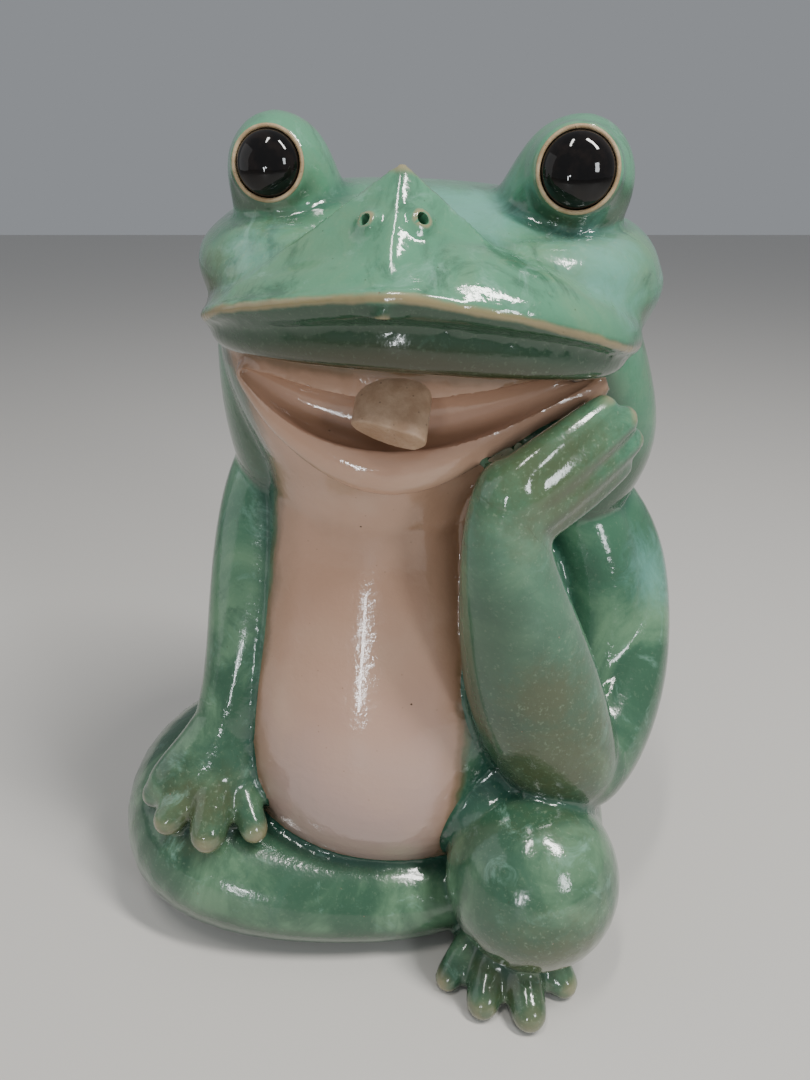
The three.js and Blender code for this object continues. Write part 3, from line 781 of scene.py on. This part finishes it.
def clay_place(tree):
    return node(tree, "ShaderNodeTexCoord").outputs["Object"]


COLOUR, NUMBER = "NodeSocketColor", "NodeSocketFloat"


def thin_glaze_group():
    """Where an edge or ridge lets the clay show through the glaze."""
    group, start, end = new_group("thin_on_edges", {"From": NUMBER, "To": NUMBER}, {"Mask": NUMBER})
    place = clay_place(group)
    ragged = sums(group, "MULTIPLY_ADD", cloud(group, place, 5, 4), 0.16, -0.08)
    proud = sums(group, "ADD", reading(group, "edge"), ragged)
    made = node(group, "ShaderNodeMapRange", {"interpolation_type": "SMOOTHSTEP"}, Value=proud,
                From_Min=start["From"], From_Max=start["To"])
    return finish_group(group, end, Mask=made.outputs["Result"])


def pooled_glaze_and_shade_group():
    """Where the glaze has run down into a hollow and lies thick, and where shade is painted into the hollow.
    """
    group, start, end = new_group("thick_glaze_and_painted_shade_in_hollows", {"Depth": NUMBER}, {"Mask": NUMBER})
    place = clay_place(group)
    sunk = sums(group, "MULTIPLY", reading(group, "swell"), -1.0)
    sunk = sums(group, "ADD", sunk, sums(group, "MULTIPLY_ADD", cloud(group, place, 14), 0.7, -0.35))
    made = node(group, "ShaderNodeMapRange", {"interpolation_type": "SMOOTHSTEP"}, Value=sunk,
                From_Max=start["Depth"])
    return finish_group(group, end, Mask=made.outputs["Result"])


def pin_group():
    """Pinholes and iron specks in a fired glaze."""
    group, _, end = new_group("pins_and_specks", {}, {"Pins": NUMBER, "Specks": NUMBER})
    place = clay_place(group)
    return finish_group(group, end, Pins=speckles(group, place, 8, 0.30, 0.75),
                        Specks=speckles(group, place, 2.6, 0.16, 0.55))


def gloss_group():
    """The slight waviness of a poured glaze: its roughness and its height."""
    group, start, end = new_group(
        "poured_gloss", {"Dullness": NUMBER}, {"Roughness": NUMBER, "Height": NUMBER})
    place = clay_place(group)
    smears = ranged(group, cloud(group, place, 22, 5, 0.6), 0.35, 0.75, 0.0, 0.12)
    waves = sums(group, "MULTIPLY_ADD", cloud(group, place, 9, 2), 0.8, cloud(group, place, 2.2, 2))
    return finish_group(group, end, Roughness=sums(group, "ADD", smears, start["Dullness"]), Height=waves)


THIN, POOLED_AND_SHADED, PINS, GLOSS = thin_glaze_group(), pooled_glaze_and_shade_group(), pin_group(), gloss_group()


def use(tree, group, **values):
    made = tree.nodes.new("ShaderNodeGroup")
    made.node_tree = group
    for name, value in values.items():
        feed(tree, made.inputs[name], value)
    return made.outputs


def celadon_group():
    """Green glaze: mint high up, bottle green low down and in hollows, olive over brown spots, tan on edges.
    Painted shade darkens the hollows, the faces that turn down and the band under the upper lip.
    """
    group, _, end = new_group("celadon", {}, {"Color": COLOUR})
    place = clay_place(group)
    drift = cloud(group, place, 38, 5, 0.62, 0.8)
    height = node(group, "ShaderNodeSeparateXYZ", Vector=place).outputs["Z"]
    high_up = ranged(group, sums(group, "MULTIPLY_ADD", drift, 0.12, height), 0.12, 0.31)
    colour = blended(group, high_up, (0.036, 0.096, 0.055, 1), (0.100, 0.280, 0.168, 1))
    colour = blended(group, ranged(group, drift, 0.44, 0.70, 0.0, 0.8), colour, (0.150, 0.280, 0.160, 1))
    facing = ranged(group, reading(group, "up"), -0.25, 0.75)
    # Painted shade: faces that turn downward are darkened towards bottle green.
    under = ranged(group, reading(group, "up"), 0.10, -0.25, 0.0, 0.85)
    colour = blended(group, under, colour, (0.032, 0.070, 0.038, 1))
    shade = ranged(group, cloud(group, place, 24, 6, 0.66, 1.4), 0.52, 0.70, 0.0, 0.75)
    colour = blended(group, shade, colour, (0.045, 0.115, 0.070, 1))
    rust = sums(group, "MULTIPLY_ADD", cloud(group, place, 7, 6, 0.7), 1.1, reading(group, "browned"))
    colour = blended(group, ranged(group, rust, 0.60, 1.40, 0.0, 0.80), colour, (0.078, 0.090, 0.040, 1))
    # Darker where the glaze pools thick in hollows, and partly painted shade there.
    pooled_and_shaded = use(group, POOLED_AND_SHADED, Depth=1.5)["Mask"]
    colour = blended(group, sums(group, "MULTIPLY", pooled_and_shaded, 0.72), colour, (0.017, 0.066, 0.048, 1))
    # Painted shade: the band under the overhanging upper lip is darkened; further down it turns olive brown.
    lip_shade = sums(group, "MULTIPLY_ADD", cloud(group, place, 9, 3), 2.0, reading(group, "lip_shade"))
    colour = blended(group, ranged(group, lip_shade, 1.0, 3.2, 0.0, 0.92), colour, (0.024, 0.062, 0.032, 1))
    colour = blended(group, ranged(group, lip_shade, 7.0, 16.0, 0.0, 0.8), colour, (0.050, 0.042, 0.018, 1))
    blue = sums(group, "MULTIPLY_ADD", cloud(group, place, 12, 6, 0.7, 1.2), 1.0, reading(group, "milky"))
    colour = blended(group, ranged(group, blue, 0.65, 1.35, 0.0, 0.65), colour, (0.170, 0.410, 0.355, 1))
    milky = ranged(group, cloud(group, place, 16, 6, 0.7, 1.2), 0.55, 0.74, 0.0, 0.5)
    colour = blended(group, sums(group, "MULTIPLY", milky, facing), colour, (0.250, 0.470, 0.370, 1))
    grains = ranged(group, cloud(group, place, 1.3, 3, 0.7), 0.55, 0.75, 0.0, 0.4)
    frost = sums(group, "MULTIPLY", grains, ranged(group, reading(group, "browned"), -0.4, 0.6, 0.35, 1.0))
    colour = blended(group, frost, colour, (0.270, 0.370, 0.240, 1))
    edges = use(group, THIN, From=0.30, To=0.62)["Mask"]
    colour = blended(group, sums(group, "MULTIPLY", edges, 0.85), colour, (0.330, 0.265, 0.145, 1))
    line = sums(group, "MULTIPLY_ADD", cloud(group, place, 6, 4), 1.6, reading(group, "lip_shade"))
    line = sums(group, "MULTIPLY", ranged(group, line, -0.7, 0.5), ranged(group, line, 2.2, 1.1, 0.0, 0.85))
    colour = blended(group, line, colour, (0.300, 0.230, 0.115, 1))
    pins = use(group, PINS)
    colour = blended(group, sums(group, "MULTIPLY", pins["Specks"], 0.5), colour, (0.05, 0.06, 0.03, 1))
    colour = blended(group, sums(group, "MULTIPLY", pins["Pins"], 0.7), colour, (0.260, 0.230, 0.140, 1))
    return finish_group(group, end, Color=colour)


def blush_group():
    """Pinkish beige glaze over buff clay, mauve low on the belly, with painted shade darkening the hollows
    brown, the mouth most of all.
    """
    group, _, end = new_group("blush", {}, {"Color": COLOUR})
    place = clay_place(group)
    drift = cloud(group, place, 50, 4, 0.55, 0.5)
    height = node(group, "ShaderNodeSeparateXYZ", Vector=place).outputs["Z"]
    low_down = ranged(group, sums(group, "MULTIPLY_ADD", drift, 0.08, height), 0.17, 0.08)
    colour = blended(group, low_down, (0.500, 0.300, 0.205, 1), (0.430, 0.300, 0.262, 1))
    colour = blended(group, ranged(group, drift, 0.45, 0.75, 0.0, 0.6), colour, (0.540, 0.375, 0.285, 1))
    # Painted shade: hollows on the pink glaze, the mouth most of all, are darkened brown.
    pooled_and_shaded = use(group, POOLED_AND_SHADED, Depth=1.5)["Mask"]
    colour = blended(group, sums(group, "MULTIPLY", pooled_and_shaded, 0.8), colour, (0.180, 0.092, 0.048, 1))
    edges = use(group, THIN, From=0.2, To=0.6)["Mask"]
    colour = blended(group, sums(group, "MULTIPLY", edges, 0.5), colour, (0.680, 0.480, 0.350, 1))
    pins = use(group, PINS)
    colour = blended(group, sums(group, "MULTIPLY", pins["Specks"], 0.45), colour, (0.20, 0.11, 0.06, 1))
    colour = blended(group, pins["Pins"], colour, (0.10, 0.055, 0.03, 1))
    return finish_group(group, end, Color=colour)


CELADON, BLUSH = celadon_group(), blush_group()


def new_material(name):
    material = bpy.data.materials.new(name)
    material.use_nodes = True
    tree = material.node_tree
    return material, tree, tree.nodes["Principled BSDF"]


def bumped(tree, shader, height, distance, strength=1.0):
    bump = node(tree, "ShaderNodeBump", Height=height, Distance=distance * MM, Strength=strength)
    tree.links.new(bump.outputs["Normal"], shader.inputs["Normal"])


def glazed(name, pink):
    """The body's glaze: green all over, or green with the pink bib and a brown line where the two overlap."""
    material, tree, shader = new_material(name)
    colour = use(tree, CELADON)["Color"]
    if pink:
        place = clay_place(tree)
        shore = sums(tree, "ADD", reading(tree, "bib"), -2.5)
        wander = sums(tree, "MULTIPLY_ADD", cloud(tree, place, 11, 3), 5.0, shore)
        overlap = sums(tree, "MULTIPLY", ranged(tree, wander, -2.6, -0.4), ranged(tree, wander, 3.2, 0.6))
        colour = blended(tree, ranged(tree, wander, -0.8, 0.9), colour, use(tree, BLUSH)["Color"])
        halo = sums(tree, "MULTIPLY", ranged(tree, wander, -0.5, 1.0),
                    ranged(tree, wander, 11.0, 1.0, 0.0, 0.45))
        colour = blended(tree, halo, colour, (0.300, 0.170, 0.095, 1))
        colour = blended(tree, sums(tree, "MULTIPLY", overlap, 0.6), colour, (0.130, 0.088, 0.040, 1))
    tree.links.new(colour, shader.inputs["Base Color"])
    gloss = use(tree, GLOSS, Dullness=0.10)
    tree.links.new(gloss["Roughness"], shader.inputs["Roughness"])
    shader.inputs["IOR"].default_value = 1.52
    shader.inputs["Coat Weight"].default_value = 0.35
    shader.inputs["Coat Roughness"].default_value = 0.04
    pinned = sums(tree, "MULTIPLY_ADD", use(tree, PINS)["Pins"], -1.6, gloss["Height"])
    bumped(tree, shader, pinned, 0.12)
    return material


def black_glaze():
    material, tree, shader = new_material("black_glaze")
    place = clay_place(tree)
    sheen = ranged(tree, cloud(tree, place, 4, 3), 0.4, 0.7)
    colour = blended(tree, sheen, (0.0035, 0.003, 0.003, 1), (0.010, 0.007, 0.006, 1))
    tree.links.new(colour, shader.inputs["Base Color"])
    gloss = use(tree, GLOSS, Dullness=0.02)
    tree.links.new(sums(tree, "MULTIPLY", gloss["Roughness"], 0.5), shader.inputs["Roughness"])
    shader.inputs["IOR"].default_value = 1.42
    bumped(tree, shader, gloss["Height"], 0.03)
    return material


def bare_clay(name, light, dark, dull, speck):
    """Buff clay under a thin wash."""
    material, tree, shader = new_material(name)
    place = clay_place(tree)
    colour = blended(tree, ranged(tree, cloud(tree, place, 7, 5, 0.65), 0.35, 0.7), dark, light)
    dots = speckles(tree, place, speck, 0.25, speck * 0.4)
    colour = blended(tree, sums(tree, "MULTIPLY", dots, 0.6), colour, (0.10, 0.055, 0.03, 1))
    tree.links.new(colour, shader.inputs["Base Color"])
    grain = cloud(tree, place, 0.9, 4, 0.7)
    tree.links.new(ranged(tree, grain, 0.3, 0.7, dull, dull + 0.2), shader.inputs["Roughness"])
    bumped(tree, shader, grain, 0.12)
    return material


GREEN = glazed("green_glaze", False)
BELLY = glazed("green_and_pink_glaze", True)
BLACK = black_glaze()
CLAY = bare_clay("washed_clay", (0.50, 0.345, 0.235, 1), (0.36, 0.225, 0.140, 1), 0.28, 1.6)
RIM = bare_clay("bare_rim", (0.52, 0.40, 0.25, 1), (0.34, 0.23, 0.12, 1), 0.4, 1.1)


def fired(piece, name, material):
    """Gives a piece its name, finish and place on the frog's one body."""
    piece.name = name
    piece.data.name = name
    only(piece)
    bpy.ops.object.shade_smooth_by_angle(angle=math.radians(48))
    piece.data.materials.clear()
    piece.data.materials.append(material)
    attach(piece, "root")
    return piece


PINK_PIECES = ("torso_front", "lower_jaw", "head", "nape", "torso_back")
for name, piece in pieces.items():
    mark(piece, name in PINK_PIECES, name in ("head", "lower_jaw"))
    fired(piece, name + "_clay", BELLY if name in PINK_PIECES else GREEN)
    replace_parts(piece, name)

for eye in ("right_eye", "left_eye"):
    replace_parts(fired(eye_dome("dome", eye), eye + "_dome", BLACK), eye)
    middle, half = on_the_face(eye)
    rim = ring("rim", middle + GAZE * 0.6 * MM, GAZE, half.x / MM + 0.65, 0.55, 0.8)
    fired(rim, eye + "_rim", RIM)
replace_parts(fired(tongue(), "tongue_stub", CLAY), "tongue")

# ---------------------------------------------------------------- floor, light and camera

bpy.ops.object.select_all(action="DESELECT")
bpy.ops.mesh.primitive_plane_add(size=6, location=(0, 0, 0))
floor = bpy.context.object
floor.name = "floor"
floor_paint, _, floor_shader = new_material("pale_floor")
floor_shader.inputs["Base Color"].default_value = (0.62, 0.60, 0.57, 1)
floor_shader.inputs["Roughness"].default_value = 0.6
floor.data.materials.append(floor_paint)


def lamp(name, place, target, size, power, tint=(1, 1, 1)):
    light = bpy.data.lights.new(name, "AREA")
    light.shape = "RECTANGLE"
    light.size, light.size_y = size
    light.energy = power
    light.color = tint
    thing = bpy.data.objects.new(name, light)
    bpy.context.collection.objects.link(thing)
    thing.location = place
    thing.rotation_euler = (Vector(target) - Vector(place)).to_track_quat("-Z", "Y").to_euler()
    return thing


MIDDLE = (0, 0, 0.13)
lamp("ceiling_strip_left", (-0.12, -0.30, 1.05), MIDDLE, (0.05, 0.30), 2.6, (1.0, 0.98, 0.94))
lamp("ceiling_strip_right", (0.42, -0.28, 1.00), MIDDLE, (0.10, 0.42), 9.0, (1.0, 0.98, 0.94))
lamp("window", (0.70, -0.90, 0.55), MIDDLE, (0.16, 0.30), 3.4, (0.93, 0.97, 1.0))
lamp("window_far", (-0.33, -1.0, 0.20), MIDDLE, (0.03, 0.16), 0.8, (0.93, 0.97, 1.0))
lamp("window_pane", (-0.25, -1.0, 0.28), MIDDLE, (0.05, 0.05), 0.5, (0.93, 0.97, 1.0))
lamp("soft_side", (-0.9, -0.1, 0.5), MIDDLE, (0.8, 0.8), 1.2)
world = bpy.data.worlds.new("soft_room")
bpy.context.scene.world = world
world.use_nodes = True
world.node_tree.nodes["Background"].inputs["Color"].default_value = (0.85, 0.89, 0.95, 1)
world.node_tree.nodes["Background"].inputs["Strength"].default_value = 0.32

camera_data = bpy.data.cameras.new("camera")
camera_data.lens = 27.03
camera_data.sensor_width = 36
camera = bpy.data.objects.new("camera", camera_data)
bpy.context.collection.objects.link(camera)
camera.location = clay(0, -250, 248)
camera.rotation_euler = (math.radians(65), 0, 0)
bpy.context.scene.camera = camera
